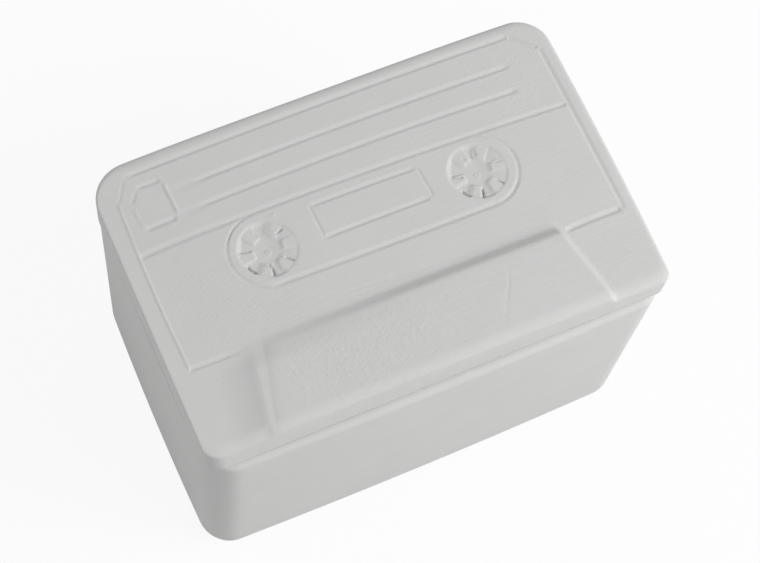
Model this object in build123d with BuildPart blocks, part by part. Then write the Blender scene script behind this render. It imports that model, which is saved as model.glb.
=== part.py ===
"""A lidded ceramic box whose lid is carved like a tape cassette.

Millimetres, +Z up, +X along the long side, +Y to the back.
The origin is the centre of the foot, on the surface that the box stands on.
"""

from build123d import *
from math import radians, tan
import os

os.makedirs("parts", exist_ok=True)

# Box: an open cast tub.
box_length = 152.0
box_width = 100.6
box_height = 92.0
box_corner = 10.5
wall = 5.0
floor = 6.0
inner_floor_round = 3.0
rim_round = 2.0
rim_inner_round = 0.8
bottom_round = 4.0
foot_margin = 11.0
foot_hollow = 1.2

# Lid: a cap that rests on the rim, with a flange that drops into the mouth.
lid_length = 150.8
lid_width = 97.8
lid_front_corner = 5.5
lid_back_corner = 9.0
lid_side = 11.0
lid_plate = 5.5
lid_top_round = 2.4
lid_lower_round = 0.6
lid_set_back = 1.1
flange_play = 1.8
flange_depth = 6.0
flange_wall = 4.5
flange_tip_round = 1.0
hollow_round = 2.0

# Carving: every place below is measured from the middle of the carving.
relief_turn = -0.55
relief_shift = 0.6
groove_depth = 0.6
border_groove = 1.7
border_length = 139.8
border_back = 43.3
border_front = -21.8
left_cut_length = 4.8
right_cut_length = 7.0
corner_cut_width = 6.8
divider_groove = 1.7
stripe_groove = 1.8
stripe_length = 106.5
stripe_x = 4.0
stripe_back = 34.5
stripe_pitch = 8.3
stripe_count = 2
window_groove = 1.4
window_length = 35.2
window_width = 10.9
window_y = 8.2
badge_groove = 1.3
badge_x = -60.7
badge_y = 31.2
badge_length = 10.8
badge_width = 13.1
badge_cut_length = 3.2
badge_cut_width = 4.8

# Reels: two toothed sockets inside one long rounded groove.
hub_spacing = 69.2
hub_y = 5.3
hub_radius = 8.9
hub_depth = 1.5
hub_pit_radius = 0.6
hub_pit_depth = 0.4
pill_radius = 11.8
pill_groove = 1.5
tooth_count = 6
tooth_length = 4.4
tooth_tip_width = 3.0
tooth_root_width = 4.6
tooth_drop = 0.5
tooth_overlap = 0.6

# Head block: the raised trapezoid that runs out to the front edge.
block_raise = 3.2
block_back = -23.0
block_length = 97.8
block_flare = 13.5
block_slope = 45.0

# Heights and places that follow from the sizes above.
lid_top = box_height + lid_side
block_top = lid_top + block_raise
block_spread = block_raise * tan(radians(block_slope))
mouth_length = box_length - 2 * wall
mouth_width = box_width - 2 * wall
mouth_corner = box_corner - wall
flange_length = mouth_length - 2 * flange_play
flange_width = mouth_width - 2 * flange_play
hollow_length = flange_length - 2 * flange_wall
hollow_width = flange_width - 2 * flange_wall
hub_places = [(side * hub_spacing / 2, hub_y) for side in (-1, 1)]


def lid_outline(height):
    """Outline of the lid at a height, with tighter corners at the front than at the back."""
    with BuildSketch(lid_plane(height)) as outline:
        Rectangle(lid_length, lid_width)
        fillet(outline.vertices().group_by(Axis.Y)[0], lid_front_corner)
        fillet(outline.vertices().group_by(Axis.Y)[-1], lid_back_corner)
    return outline.sketch


def lid_plane(height):
    """Level plane on the lid's own middle, which sits a little behind the box's."""
    return Plane((0, lid_set_back, height))


def relief_plane(height):
    """Level plane for the carving, turned and shifted a little, as on the hand-made master."""
    return Plane((relief_shift, lid_set_back, height)).rotated((0, 0, relief_turn))


# ---------------------------------------------------------------- box
with BuildPart() as box:
    with BuildSketch():
        RectangleRounded(box_length, box_width, box_corner)
    extrude(amount=box_height)
    fillet(box.edges().group_by(Axis.Z)[0], bottom_round)
    fillet(box.edges().group_by(Axis.Z)[-1], rim_round)

    # The mouth runs from the floor out through the rim.
    with BuildSketch(Plane.XY.offset(floor)):
        RectangleRounded(mouth_length, mouth_width, mouth_corner)
    extrude(amount=box_height - floor, mode=Mode.SUBTRACT)
    inside_floor = box.faces().filter_by(Plane.XY).sort_by(Axis.Z)[1]
    fillet(inside_floor.edges(), inner_floor_round)
    rim = box.faces().filter_by(Plane.XY).sort_by(Axis.Z)[-1]
    fillet(rim.inner_wires()[0].edges(), rim_inner_round)

    # A shallow hollow leaves a flat foot ring all round.
    with BuildSketch():
        RectangleRounded(box_length - 2 * foot_margin, box_width - 2 * foot_margin, box_corner)
    extrude(amount=foot_hollow, mode=Mode.SUBTRACT)

box.part.label = "box"
export_step(box.part, "parts/box.step")


# ---------------------------------------------------------------- head block
# It is cut from a tall copy of the lid, so that its front follows the lid's front edge.
with BuildPart() as head_block:
    extrude(lid_outline(box_height), block_top - box_height)
    fillet(head_block.edges().group_by(Axis.Z)[-1], lid_top_round)

    front_reach = block_back + lid_width / 2 + lid_top_round
    with BuildSketch(relief_plane(block_top)) as block_outline:
        with BuildLine():
            Polyline(
                (-block_length / 2, block_back),
                (block_length / 2, block_back),
                (block_length / 2 + block_flare / 2, block_back - front_reach),
                (-block_length / 2 - block_flare / 2, block_back - front_reach),
                close=True,
            )
        make_face()
    extrude(
        block_outline.sketch,
        block_raise + lid_top_round,
        dir=(0, 0, -1),
        taper=-block_slope,
        mode=Mode.INTERSECT,
    )

# ---------------------------------------------------------------- lid
with BuildPart() as lid:
    extrude(lid_outline(box_height), lid_side)
    fillet(lid.edges().group_by(Axis.Z)[-1], lid_top_round)
    fillet(lid.edges().group_by(Axis.Z)[0], lid_lower_round)
    add(head_block.part)

    # The flange hangs inside the mouth, and the lid is hollow within it.
    with BuildSketch(lid_plane(box_height - flange_depth)):
        RectangleRounded(flange_length, flange_width, mouth_corner)
    extrude(amount=flange_depth)
    fillet(lid.edges().group_by(Axis.Z)[0], flange_tip_round)
    with BuildSketch(lid_plane(box_height - flange_depth)):
        RectangleRounded(hollow_length, hollow_width, mouth_corner)
    extrude(amount=flange_depth + lid_side - lid_plate, mode=Mode.SUBTRACT)
    ceiling_height = lid_top - lid_plate
    ceiling = lid.faces().filter_by(Plane.XY).filter_by_position(
        Axis.Z, ceiling_height - hollow_round, ceiling_height + hollow_round
    )
    fillet(ceiling.edges(), hollow_round)

    # Border: it starts and ends where the head block interrupts it.
    with BuildSketch(relief_plane(lid_top)) as border:
        half = border_length / 2
        with BuildLine():
            Polyline(
                (-block_length / 2 - block_spread, border_front),
                (-half, border_front),
                (-half, border_back - corner_cut_width),
                (-half + left_cut_length, border_back),
                (half - right_cut_length, border_back),
                (half, border_back - corner_cut_width),
                (half, border_front),
                (block_length / 2 + block_spread, border_front),
            )
        trace(line_width=border_groove)
    extrude(border.sketch, groove_depth, dir=(0, 0, -1), mode=Mode.SUBTRACT)

    # The divider crosses the whole field along the back of the long rounded groove.
    with BuildSketch(relief_plane(lid_top)) as divider:
        with Locations((0, hub_y + pill_radius)):
            Rectangle(border_length, divider_groove)
    extrude(divider.sketch, groove_depth, dir=(0, 0, -1), mode=Mode.SUBTRACT)

    with BuildSketch(relief_plane(lid_top)) as stripes:
        for stripe in range(stripe_count):
            with Locations((stripe_x, stripe_back - stripe * stripe_pitch)):
                SlotOverall(stripe_length, stripe_groove)
    extrude(stripes.sketch, groove_depth, dir=(0, 0, -1), mode=Mode.SUBTRACT)

    with BuildSketch(relief_plane(lid_top)) as window:
        with Locations((0, window_y)):
            Rectangle(window_length + window_groove, window_width + window_groove)
            Rectangle(
                window_length - window_groove, window_width - window_groove, mode=Mode.SUBTRACT
            )
    extrude(window.sketch, groove_depth, dir=(0, 0, -1), mode=Mode.SUBTRACT)

    with BuildSketch(relief_plane(lid_top)) as badge:
        with BuildLine(Plane((badge_x, badge_y, 0))):
            Polyline(
                (-badge_length / 2, -badge_width / 2),
                (badge_length / 2, -badge_width / 2),
                (badge_length / 2, badge_width / 2),
                (badge_cut_length - badge_length / 2, badge_width / 2),
                (-badge_length / 2, badge_width / 2 - badge_cut_width),
                close=True,
            )
        trace(line_width=badge_groove)
    extrude(badge.sketch, groove_depth, dir=(0, 0, -1), mode=Mode.SUBTRACT)

    with BuildSketch(relief_plane(lid_top)) as pill:
        with Locations((0, hub_y)):
            SlotCenterToCenter(hub_spacing, 2 * pill_radius + pill_groove)
            SlotCenterToCenter(
                hub_spacing, 2 * pill_radius - pill_groove, mode=Mode.SUBTRACT
            )
    extrude(pill.sketch, groove_depth, dir=(0, 0, -1), mode=Mode.SUBTRACT)

    # Hub sockets: round recesses with wedge teeth left standing on their walls.
    with BuildSketch(relief_plane(lid_top)) as sockets:
        with Locations(*hub_places):
            Circle(hub_radius)
    extrude(sockets.sketch, tooth_drop, dir=(0, 0, -1), mode=Mode.SUBTRACT)

    with BuildSketch(relief_plane(lid_top)) as socket_floors:
        for place in hub_places:
            with Locations(place):
                Circle(hub_radius)
                with PolarLocations(0, tooth_count):
                    Polygon(
                        (hub_radius - tooth_length, -tooth_tip_width / 2),
                        (hub_radius + tooth_overlap, -tooth_root_width / 2),
                        (hub_radius + tooth_overlap, tooth_root_width / 2),
                        (hub_radius - tooth_length, tooth_tip_width / 2),
                        align=None,
                        mode=Mode.SUBTRACT,
                    )
    extrude(socket_floors.sketch, hub_depth, dir=(0, 0, -1), mode=Mode.SUBTRACT)

    with BuildSketch(relief_plane(lid_top - hub_depth)) as pits:
        with Locations(*hub_places):
            Circle(hub_pit_radius)
    extrude(pits.sketch, hub_pit_depth, dir=(0, 0, -1), mode=Mode.SUBTRACT)

lid.part.label = "lid"
export_step(lid.part, "parts/lid.step")
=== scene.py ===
"""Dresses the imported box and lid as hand-finished bisque clay, and lights them for one product photograph.

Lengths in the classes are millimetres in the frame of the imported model; meshes are written in metres.
"""

import logging
import math
from dataclasses import dataclass
from enum import Enum

import bmesh
import bpy
import numpy as np
from mathutils import Matrix, Vector


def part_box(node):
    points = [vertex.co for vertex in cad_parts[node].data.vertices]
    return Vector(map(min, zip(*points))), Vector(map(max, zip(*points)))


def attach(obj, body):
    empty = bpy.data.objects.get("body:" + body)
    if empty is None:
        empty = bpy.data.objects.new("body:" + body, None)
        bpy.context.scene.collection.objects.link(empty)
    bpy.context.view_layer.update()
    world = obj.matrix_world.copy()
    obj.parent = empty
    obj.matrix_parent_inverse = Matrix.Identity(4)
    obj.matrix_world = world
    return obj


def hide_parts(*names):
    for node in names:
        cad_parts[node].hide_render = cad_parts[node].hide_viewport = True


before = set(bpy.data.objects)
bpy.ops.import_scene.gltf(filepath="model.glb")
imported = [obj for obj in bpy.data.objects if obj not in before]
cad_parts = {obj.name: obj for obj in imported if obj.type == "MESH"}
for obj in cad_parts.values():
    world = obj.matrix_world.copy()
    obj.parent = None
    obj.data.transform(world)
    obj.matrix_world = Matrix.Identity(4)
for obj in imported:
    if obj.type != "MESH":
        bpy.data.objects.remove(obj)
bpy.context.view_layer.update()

log = logging.getLogger("clay_box")
MM = 0.001
PHOTO_WIDTH_PX = 760
WHITE = (1.0, 1.0, 1.0, 1.0)
Numbers = np.ndarray | float


# ---------------------------------------------------------------- shader maths
class Value:
    """A number socket that adds Math nodes when it is used in an expression."""

    def __init__(self, graph: "NodeGraph", socket: bpy.types.NodeSocket) -> None:
        """Wraps a socket.

        Args:
            graph: The graph that new nodes are added to.
            socket: The output socket that holds the number.
        """
        self.graph = graph
        self.socket = socket

    def _math(self, operation: str, *values: "Value | float") -> "Value":
        """Adds one Math node over some values and returns what comes out of it."""
        node = self.graph.add("ShaderNodeMath", {"operation": operation}, dict(enumerate(values)))
        return Value(self.graph, node.outputs[0])

    def __add__(self, other: "Value | float") -> "Value":
        """Sum."""
        return self._math("ADD", self, other)

    def __sub__(self, other: "Value | float") -> "Value":
        """Difference."""
        return self._math("SUBTRACT", self, other)

    def __rsub__(self, other: float) -> "Value":
        """Difference from a plain number."""
        return self._math("SUBTRACT", other, self)

    def __mul__(self, other: "Value | float") -> "Value":
        """Product."""
        return self._math("MULTIPLY", self, other)

    def __pow__(self, exponent: float) -> "Value":
        """Power."""
        return self._math("POWER", self, exponent)

    __radd__ = __add__
    __rmul__ = __mul__

    def turned_from(self, across: "Value") -> "Value":
        """Angle of a direction, in radians, from this number along it and one across it."""
        return self._math("ARCTAN2", self, across)

    def between(self, low: float, high: float) -> "Value":
        """Smooth step of the value.

        Args:
            low: Where the step is 0.
            high: Where the step is 1; it may lie below low, and the step then falls.

        Returns:
            A value from 0 to 1.
        """
        node = self.graph.add(
            "ShaderNodeMapRange",
            {"interpolation_type": "SMOOTHSTEP"},
            {"Value": self, "From Min": low, "From Max": high},
        )
        return Value(self.graph, node.outputs["Result"])


class NodeGraph:
    """The node tree of one material."""

    def __init__(self, name: str) -> None:
        """Starts an empty material.

        Args:
            name: The material's name.
        """
        self.material = bpy.data.materials.new(name)
        self.material.use_nodes = True
        self.tree = self.material.node_tree
        self.tree.nodes.clear()

    def add(self, kind: str, settings: dict | None = None, inputs: dict | None = None) -> bpy.types.Node:
        """Adds one node.

        Args:
            kind: The node's type.
            settings: Its properties, set first.
            inputs: Values, sockets or Value objects for its inputs, by name or index.

        Returns:
            The node.
        """
        node = self.tree.nodes.new(kind)
        for key, setting in (settings or {}).items():
            setattr(node, key, setting)
        for key, given in (inputs or {}).items():
            source = given.socket if isinstance(given, Value) else given
            if isinstance(source, bpy.types.NodeSocket):
                self.tree.links.new(source, node.inputs[key])
            else:
                node.inputs[key].default_value = source
        return node

    def places(self) -> bpy.types.NodeSocket:
        """Object coordinates, in metres."""
        return self.add("ShaderNodeTexCoord").outputs["Object"]

    def axes(self, vector: bpy.types.NodeSocket) -> tuple[Value, Value, Value]:
        """The three numbers of a vector."""
        parts = self.add("ShaderNodeSeparateXYZ", inputs={"Vector": vector})
        return tuple(Value(self, parts.outputs[axis]) for axis in "XYZ")

    def mapped(
        self, vector: bpy.types.NodeSocket, scale: tuple, turn: tuple = (0, 0, 0)
    ) -> bpy.types.NodeSocket:
        """A vector turned and then stretched.

        Args:
            vector: The coordinates.
            scale: Factors along the three axes.
            turn: Degrees about the three axes.

        Returns:
            The mapped coordinates.
        """
        angles = tuple(math.radians(angle) for angle in turn)
        turned = self.add("ShaderNodeMapping", inputs={"Vector": vector, "Rotation": angles})
        inputs = {"Vector": turned.outputs[0], "Scale": scale}
        return self.add("ShaderNodeMapping", inputs=inputs).outputs[0]

    def noise(
        self, vector: bpy.types.NodeSocket, size: float, detail: float = 2.0, rough: float = 0.5
    ) -> Value:
        """Soft noise from 0 to 1.

        Args:
            vector: The coordinates that it follows.
            size: The width of its blotches, in the coordinates' unit.
            detail: How many finer layers it has.
            rough: How strong the finer layers are.

        Returns:
            The noise.
        """
        inputs = {"Vector": vector, "Scale": 1 / size, "Detail": detail, "Roughness": rough}
        return Value(self, self.add("ShaderNodeTexNoise", inputs=inputs).outputs["Fac"])

    def specks(
        self, vector: bpy.types.NodeSocket, spacing: float, radius: float, core: float = 0.3
    ) -> Value:
        """Small round specks scattered at random.

        Args:
            vector: The coordinates that they lie in.
            spacing: The usual distance between cells, in metres.
            radius: The radius of a speck, as a share of the spacing.
            core: The share of that radius inside which it has its full strength.

        Returns:
            1 inside a speck and 0 outside.
        """
        node = self.add("ShaderNodeTexVoronoi", inputs={"Vector": vector, "Scale": 1 / spacing})
        return Value(self, node.outputs["Distance"]).between(radius, radius * core)


# ---------------------------------------------------------------- clay finish
@dataclass(frozen=True)
class BrushedPatch:
    """A patch of fine tool marks on the lid's face, straight or swept about a pivot.

    Attributes:
        left: Where it starts along X.
        right: Where it ends along X.
        front: Where it starts along Y.
        back: Where it ends along Y.
        stroke: Usual length of a mark.
        width: Usual width of a mark.
        height: How deep the marks are.
        turn: Degrees that straight marks are turned from X.
        pivot: Middle of the sweep, for marks that curve.
        fade: How far the patch takes to run out on each side.
        detail: How many finer layers the marks have.
        rough: How strong those layers are.
    """

    left: float
    right: float
    front: float
    back: float
    stroke: float
    width: float
    height: float
    turn: float = 0.0
    pivot: tuple[float, float] | None = None
    fade: float = 8.0
    detail: float = 2.0
    rough: float = 0.6

    def band(self, place: Value, low: float, high: float) -> Value:
        """1 between two places along an axis and 0 outside, with soft ends."""
        half = self.fade / 2 * MM
        rising = place.between(low * MM - half, low * MM + half)
        return rising * place.between(high * MM + half, high * MM - half)

    def relief(self, graph: NodeGraph, places: bpy.types.NodeSocket) -> Value:
        """Height of the marks.

        Args:
            graph: The material's nodes.
            places: Object coordinates.

        Returns:
            The height, around 0, in millimetres.
        """
        x, y, _ = graph.axes(places)
        if self.pivot is None:
            scale = (1 / self.stroke, 1 / self.width, 1 / self.stroke)
            drawn, size = graph.mapped(places, scale, (0, 0, -self.turn)), MM
        else:
            drawn, size = self.swept(graph, x, y), 1.0
        marks = graph.noise(drawn, size, self.detail, self.rough)
        inside = self.band(x, self.left, self.right) * self.band(y, self.front, self.back)
        return (marks - 0.5) * inside * self.height

    def swept(self, graph: NodeGraph, x: Value, y: Value) -> bpy.types.NodeSocket:
        """Coordinates that run around the pivot, in strokes, and away from it, in widths."""
        pivot_x, pivot_y = self.pivot
        away_x = x - pivot_x * MM
        away_y = y - pivot_y * MM
        radius = (away_x * away_x + away_y * away_y) ** 0.5
        middle_x = (self.left + self.right) / 2 - pivot_x
        middle_y = (self.front + self.back) / 2 - pivot_y
        around = away_x.turned_from(away_y) * (math.hypot(middle_x, middle_y) / self.stroke)
        outward = radius * (1 / (self.width * MM))
        return graph.add("ShaderNodeCombineXYZ", inputs={"X": around, "Y": outward}).outputs[0]


@dataclass(frozen=True)
class Bisque:
    """Unglazed white clay: matte, with fine grain, wiped marks and pinholes.

    Attributes:
        name: The material's name.
        colour: Its plain colour.
        roughness: How matte it is.
        roughness_share: How much that varies from blotch to blotch.
        specular: How strong its faint sheen is.
        mottle_mm: Size of its pale and dark blotches.
        mottle_share: How much lighter or darker a blotch is.
        grain_mm: Size of the finest grain.
        grain_height: Height of that grain.
        dents_mm: Size of its shallow dents.
        dents_height: Their depth.
        wiped_mm: Length, width and height of the marks that a wet sponge left.
        wiped_height: Their depth.
        pinhole_spacing_mm: Usual distance between pinholes.
        pinhole_share: Radius of a pinhole as a share of that distance.
        pinhole_depth: Depth of a pinhole.
        pinhole_painted_shade: How much painted shade darkens a pinhole, standing in for the shade inside its
            pit.
        patches: Patches of tool marks.
    """

    name: str
    colour: tuple[float, float, float] = (0.62, 0.62, 0.615)
    roughness: float = 0.88
    roughness_share: float = 0.08
    specular: float = 0.25
    mottle_mm: float = 14.0
    mottle_share: float = 0.03
    grain_mm: float = 0.5
    grain_height: float = 0.03
    dents_mm: float = 3.5
    dents_height: float = 0.05
    wiped_mm: tuple[float, float, float] = (14.0, 0.45, 14.0)
    wiped_height: float = 0.02
    pinhole_spacing_mm: float = 5.5
    pinhole_share: float = 0.05
    pinhole_depth: float = 0.08
    pinhole_painted_shade: float = 0.12
    patches: tuple[BrushedPatch, ...] = ()

    def material(self) -> bpy.types.Material:
        """Builds the material.

        Returns:
            The finished material.
        """
        graph = NodeGraph(self.name)
        places = graph.places()
        mottle = graph.noise(places, self.mottle_mm * MM, detail=4.0, rough=0.6)
        grain = graph.noise(places, self.grain_mm * MM, detail=2.0)
        dents = graph.noise(places, self.dents_mm * MM, detail=3.0)
        along_wipes = graph.mapped(places, tuple(1 / size for size in self.wiped_mm))
        wiped = graph.noise(along_wipes, MM, detail=3.0, rough=0.65)
        pinholes = graph.specks(places, self.pinhole_spacing_mm * MM, self.pinhole_share)

        relief = (
            grain * self.grain_height
            + dents * self.dents_height
            + wiped * self.wiped_height
            - pinholes * self.pinhole_depth
        )
        for patch in self.patches:
            relief = relief + patch.relief(graph, places)
        bump = graph.add("ShaderNodeBump", inputs={"Strength": 1.0, "Distance": MM, "Height": relief})

        blotches = (mottle - 0.5) * self.mottle_share * 2 + (wiped - 0.5) * self.mottle_share
        # Pinholes are darkened with painted shade here, for the shade inside each pit; the blotches are the
        # clay's own uneven tone.
        tone = 1 + blotches - pinholes * self.pinhole_painted_shade
        shade = graph.add("ShaderNodeCombineColor", inputs={"Red": tone, "Green": tone, "Blue": tone})
        colour = graph.add(
            "ShaderNodeMix",
            {"data_type": "RGBA", "blend_type": "MULTIPLY"},
            {"Factor": 1.0, 6: (*self.colour, 1.0), 7: shade.outputs[0]},
        )
        rough = self.roughness + (mottle - 0.5) * self.roughness_share
        shader = graph.add(
            "ShaderNodeBsdfPrincipled",
            inputs={
                "Base Color": colour.outputs[2],
                "Roughness": rough,
                "Specular IOR Level": self.specular,
                "Normal": bump.outputs[0],
            },
        )
        graph.add("ShaderNodeOutputMaterial", inputs={"Surface": shader.outputs[0]})
        return graph.material


LID_MARKS: tuple[BrushedPatch, ...] = (
    BrushedPatch(-66, -24, -18, 14, 9.0, 0.55, 0.13, pivot=(-30.0, -52.0)),
    BrushedPatch(-44, 4, -19, -11, 16.0, 0.9, 0.15, turn=-2.0),
    BrushedPatch(-48, 2, -46, -24, 6.0, 0.6, 0.12, turn=102.0, fade=16.0),
    BrushedPatch(-46, 8, -45, -24, 1.6, 0.9, 0.13, turn=18.0, fade=16.0),
    BrushedPatch(-30, -6, -38, -26, 1.3, 1.0, 0.17, turn=30.0, fade=18.0),
    BrushedPatch(-8, 44, -35, -27, 9.0, 0.5, 0.09, turn=-2.0, fade=10.0),
    BrushedPatch(0, 76, -46, 46, 6.0, 0.6, 0.09, turn=1.0, fade=16.0),
    BrushedPatch(44, 76, 18, 48, 5.0, 0.7, 0.09, turn=40.0, fade=12.0),
    BrushedPatch(-76, 10, 18, 48, 6.0, 0.7, 0.05, turn=4.0, fade=16.0),
)


# ---------------------------------------------------------------- outlines and shells
@dataclass(frozen=True)
class Stations:
    """Where the vertices of a closed loop stand around a rounded rectangle.

    Attributes:
        core: Place of each on the rectangle of corner centres, from -1 to 1 on both axes.
        outward: Outward direction of each, of length 1.
    """

    core: np.ndarray
    outward: np.ndarray

    def every_other(self) -> "Stations":
        """The stations with even numbers."""
        return Stations(self.core[::2], self.outward[::2])


def stations_around(along_x: int, along_y: int, corner: int) -> Stations:
    """Spreads stations anticlockwise from the front end of the right side.

    Args:
        along_x: Spans on each long side.
        along_y: Spans on each short side.
        corner: Spans in each corner.

    Returns:
        The stations.
    """
    core, outward = [], []
    for quarter in range(4):
        start = quarter * math.pi / 2
        side = np.array([round(math.cos(start)), round(math.sin(start))])
        ahead = np.array([-side[1], side[0]])
        spans = along_y if quarter % 2 == 0 else along_x
        for step in range(spans):
            core.append(side + ahead * (2 * step / spans - 1))
            outward.append(side)
        for step in range(corner):
            angle = start + step / corner * math.pi / 2
            core.append(side + ahead)
            outward.append((math.cos(angle), math.sin(angle)))
    return Stations(np.array(core, float), np.array(outward, float))


@dataclass(frozen=True)
class Sides:
    """One size that differs from side to side of a hand-finished form.

    Attributes:
        left: The size on the left.
        right: The size on the right.
        front: The size at the front.
        back: The size at the back.
    """

    left: float
    right: float
    front: float
    back: float

    def along_x(self, x: Numbers) -> np.ndarray:
        """The left or right size, by the sign of a place along X."""
        return np.where(x < 0, self.left, self.right)

    def along_y(self, y: Numbers) -> np.ndarray:
        """The front or back size, by the sign of a place along Y."""
        return np.where(y < 0, self.front, self.back)

    def around(self, stations: Stations) -> np.ndarray:
        """The size at each station, which turns smoothly from side to side."""
        x, y = stations.outward.T
        return x**2 * self.along_x(x) + y**2 * self.along_y(y)


@dataclass(frozen=True)
class Corners:
    """The radius of each corner of a rounded rectangle.

    Attributes:
        front_left: Radius at the front left.
        front_right: Radius at the front right.
        back_left: Radius at the back left.
        back_right: Radius at the back right.
    """

    front_left: float
    front_right: float
    back_left: float
    back_right: float

    def near(self, x: Numbers, y: Numbers) -> np.ndarray:
        """The radius of the corner that lies on the same side of the middle along both axes."""
        front = np.where(x < 0, self.front_left, self.front_right)
        back = np.where(x < 0, self.back_left, self.back_right)
        return np.where(y < 0, front, back)


@dataclass(frozen=True)
class Outline:
    """A rounded rectangle whose sides swell a little at their middles.

    Attributes:
        length: Full size along X, at the swell.
        width: Full size along Y, at the swell.
        corners: Radii of its corners.
        swell: How far the middle of each side stands out.
        centre: Its middle.
        squareness: How flat the middles of the long sides are; 2 is an even bow.
        skew_left: How much further out the back end of the left side lies than its middle.
        least_corner: The smallest radius that an inset corner keeps.
    """

    length: float
    width: float
    corners: Corners
    swell: Sides
    centre: tuple[float, float] = (0.0, 0.0)
    squareness: float = 2.0
    skew_left: float = 0.0
    least_corner: float = 0.4

    def at(self, stations: Stations, inset: Numbers = 0.0) -> np.ndarray:
        """Places of the stations on this outline.

        Args:
            stations: The stations.
            inset: How far inside the outline, one number or one a station.

        Returns:
            An array of (x, y).
        """
        core_x, core_y = stations.core.T
        out_x, out_y = stations.outward.T

        def radius(x: Numbers, y: Numbers) -> np.ndarray:
            """Radius of an inset corner."""
            return np.maximum(self.corners.near(x, y) - inset, self.least_corner)

        left = self.swell.left + inset - self.length / 2
        right = self.length / 2 - self.swell.right - inset
        front = self.swell.front + inset - self.width / 2
        back = self.width / 2 - self.swell.back - inset
        low_x, high_x = left + radius(-1, core_y), right - radius(1, core_y)
        low_y, high_y = front + radius(core_x, -1), back - radius(core_x, 1)
        corner = radius(core_x, core_y)
        x = low_x + (high_x - low_x) * (core_x + 1) / 2 + out_x * corner
        y = low_y + (high_y - low_y) * (core_y + 1) / 2 + out_y * corner
        return self.swollen(x, y) + np.array(self.centre)

    def swollen(self, x: np.ndarray, y: np.ndarray) -> np.ndarray:
        """Pushes places outwards towards the middle of each side.

        Args:
            x: Places along X, measured from the middle.
            y: Places along Y, measured from the middle.

        Returns:
            An array of (x, y).
        """
        across = 2 * x / self.length
        along = 2 * y / self.width
        moved_x = x + self.swell.along_x(x) * (1 - along**2) * across
        moved_x += self.skew_left * along * np.minimum(across, 0)
        moved_y = y + self.swell.along_y(y) * (1 - np.abs(across) ** self.squareness) * along
        return np.stack([moved_x, moved_y], axis=1)


class Shell:
    """A closed clay shell that is grown loop by loop from the edge of its first faces."""

    def __init__(self) -> None:
        """Starts an empty mesh with a layer for station numbers."""
        self.mesh = bmesh.new()
        self.station = self.mesh.verts.layers.int.new("station")
        self.rim: list[bmesh.types.BMEdge] = []

    def find_rim(self) -> None:
        """Takes the mesh's open edges as its rim."""
        self.rim = [edge for edge in self.mesh.edges if edge.is_boundary]

    def rim_in_order(self) -> list[bmesh.types.BMVert]:
        """Vertices of the rim in order around it, from the one furthest left."""
        follows = {}
        for edge in self.rim:
            for vert in edge.verts:
                follows.setdefault(vert, []).append(edge.other_vert(vert))
        order = [min(follows, key=lambda vert: (vert.co.x, vert.co.y))]
        last = None
        while len(order) < len(follows):
            step = next(vert for vert in follows[order[-1]] if vert is not last)
            last = order[-1]
            order.append(step)
        return order

    def grow(self, places: np.ndarray) -> None:
        """Extrudes the rim once and moves the new vertices to their places.

        Args:
            places: An array of (x, y, z), one row a station.
        """
        made = bmesh.ops.extrude_edge_only(self.mesh, edges=self.rim)["geom"]
        fresh = {item for item in made if isinstance(item, bmesh.types.BMVert)}
        for vert in fresh:
            vert.co = places[vert[self.station]] * MM
        self.rim = [
            item for item in made if isinstance(item, bmesh.types.BMEdge) and fresh.issuperset(item.verts)
        ]

    def thin(self) -> None:
        """Halves the rim by welding each odd station to the even one before it."""
        by_station = {vert[self.station]: vert for edge in self.rim for vert in edge.verts}
        pairs = {by_station[number]: by_station[number - 1] for number in by_station if number % 2}
        bmesh.ops.weld_verts(self.mesh, targetmap=pairs)
        self.find_rim()
        for vert in {vert for edge in self.rim for vert in edge.verts}:
            vert[self.station] //= 2

    def close(self) -> None:
        """Closes the rim with one flat face."""
        bmesh.ops.contextual_create(self.mesh, geom=self.rim)

    def finish(self, name: str, node: str, body: str, material: bpy.types.Material) -> bpy.types.Object:
        """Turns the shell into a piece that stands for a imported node.

        Args:
            name: The piece's name.
            node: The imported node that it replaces.
            body: The body that it rides on.
            material: Its finish.

        Returns:
            The piece.
        """
        bmesh.ops.triangulate(self.mesh, faces=[face for face in self.mesh.faces if len(face.verts) > 4])
        bmesh.ops.recalc_face_normals(self.mesh, faces=self.mesh.faces)
        for face in self.mesh.faces:
            face.smooth = True
        open_edges = sum(not edge.is_manifold for edge in self.mesh.edges)
        data = bpy.data.meshes.new(name)
        self.mesh.to_mesh(data)
        self.mesh.free()
        data.materials.append(material)
        piece = bpy.data.objects.new(name, data)
        bpy.context.scene.collection.objects.link(piece)
        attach(piece, body)
        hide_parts(node)
        log.info("%s: %d vertices, %d open edges", name, len(data.vertices), open_edges)
        return piece


def with_height(plan: np.ndarray, height: Numbers) -> np.ndarray:
    """Adds a height to places in plan.

    Args:
        plan: An array of (x, y).
        height: One height, or one a row.

    Returns:
        An array of (x, y, z).
    """
    return np.column_stack([plan, np.broadcast_to(height, len(plan))])


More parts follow.
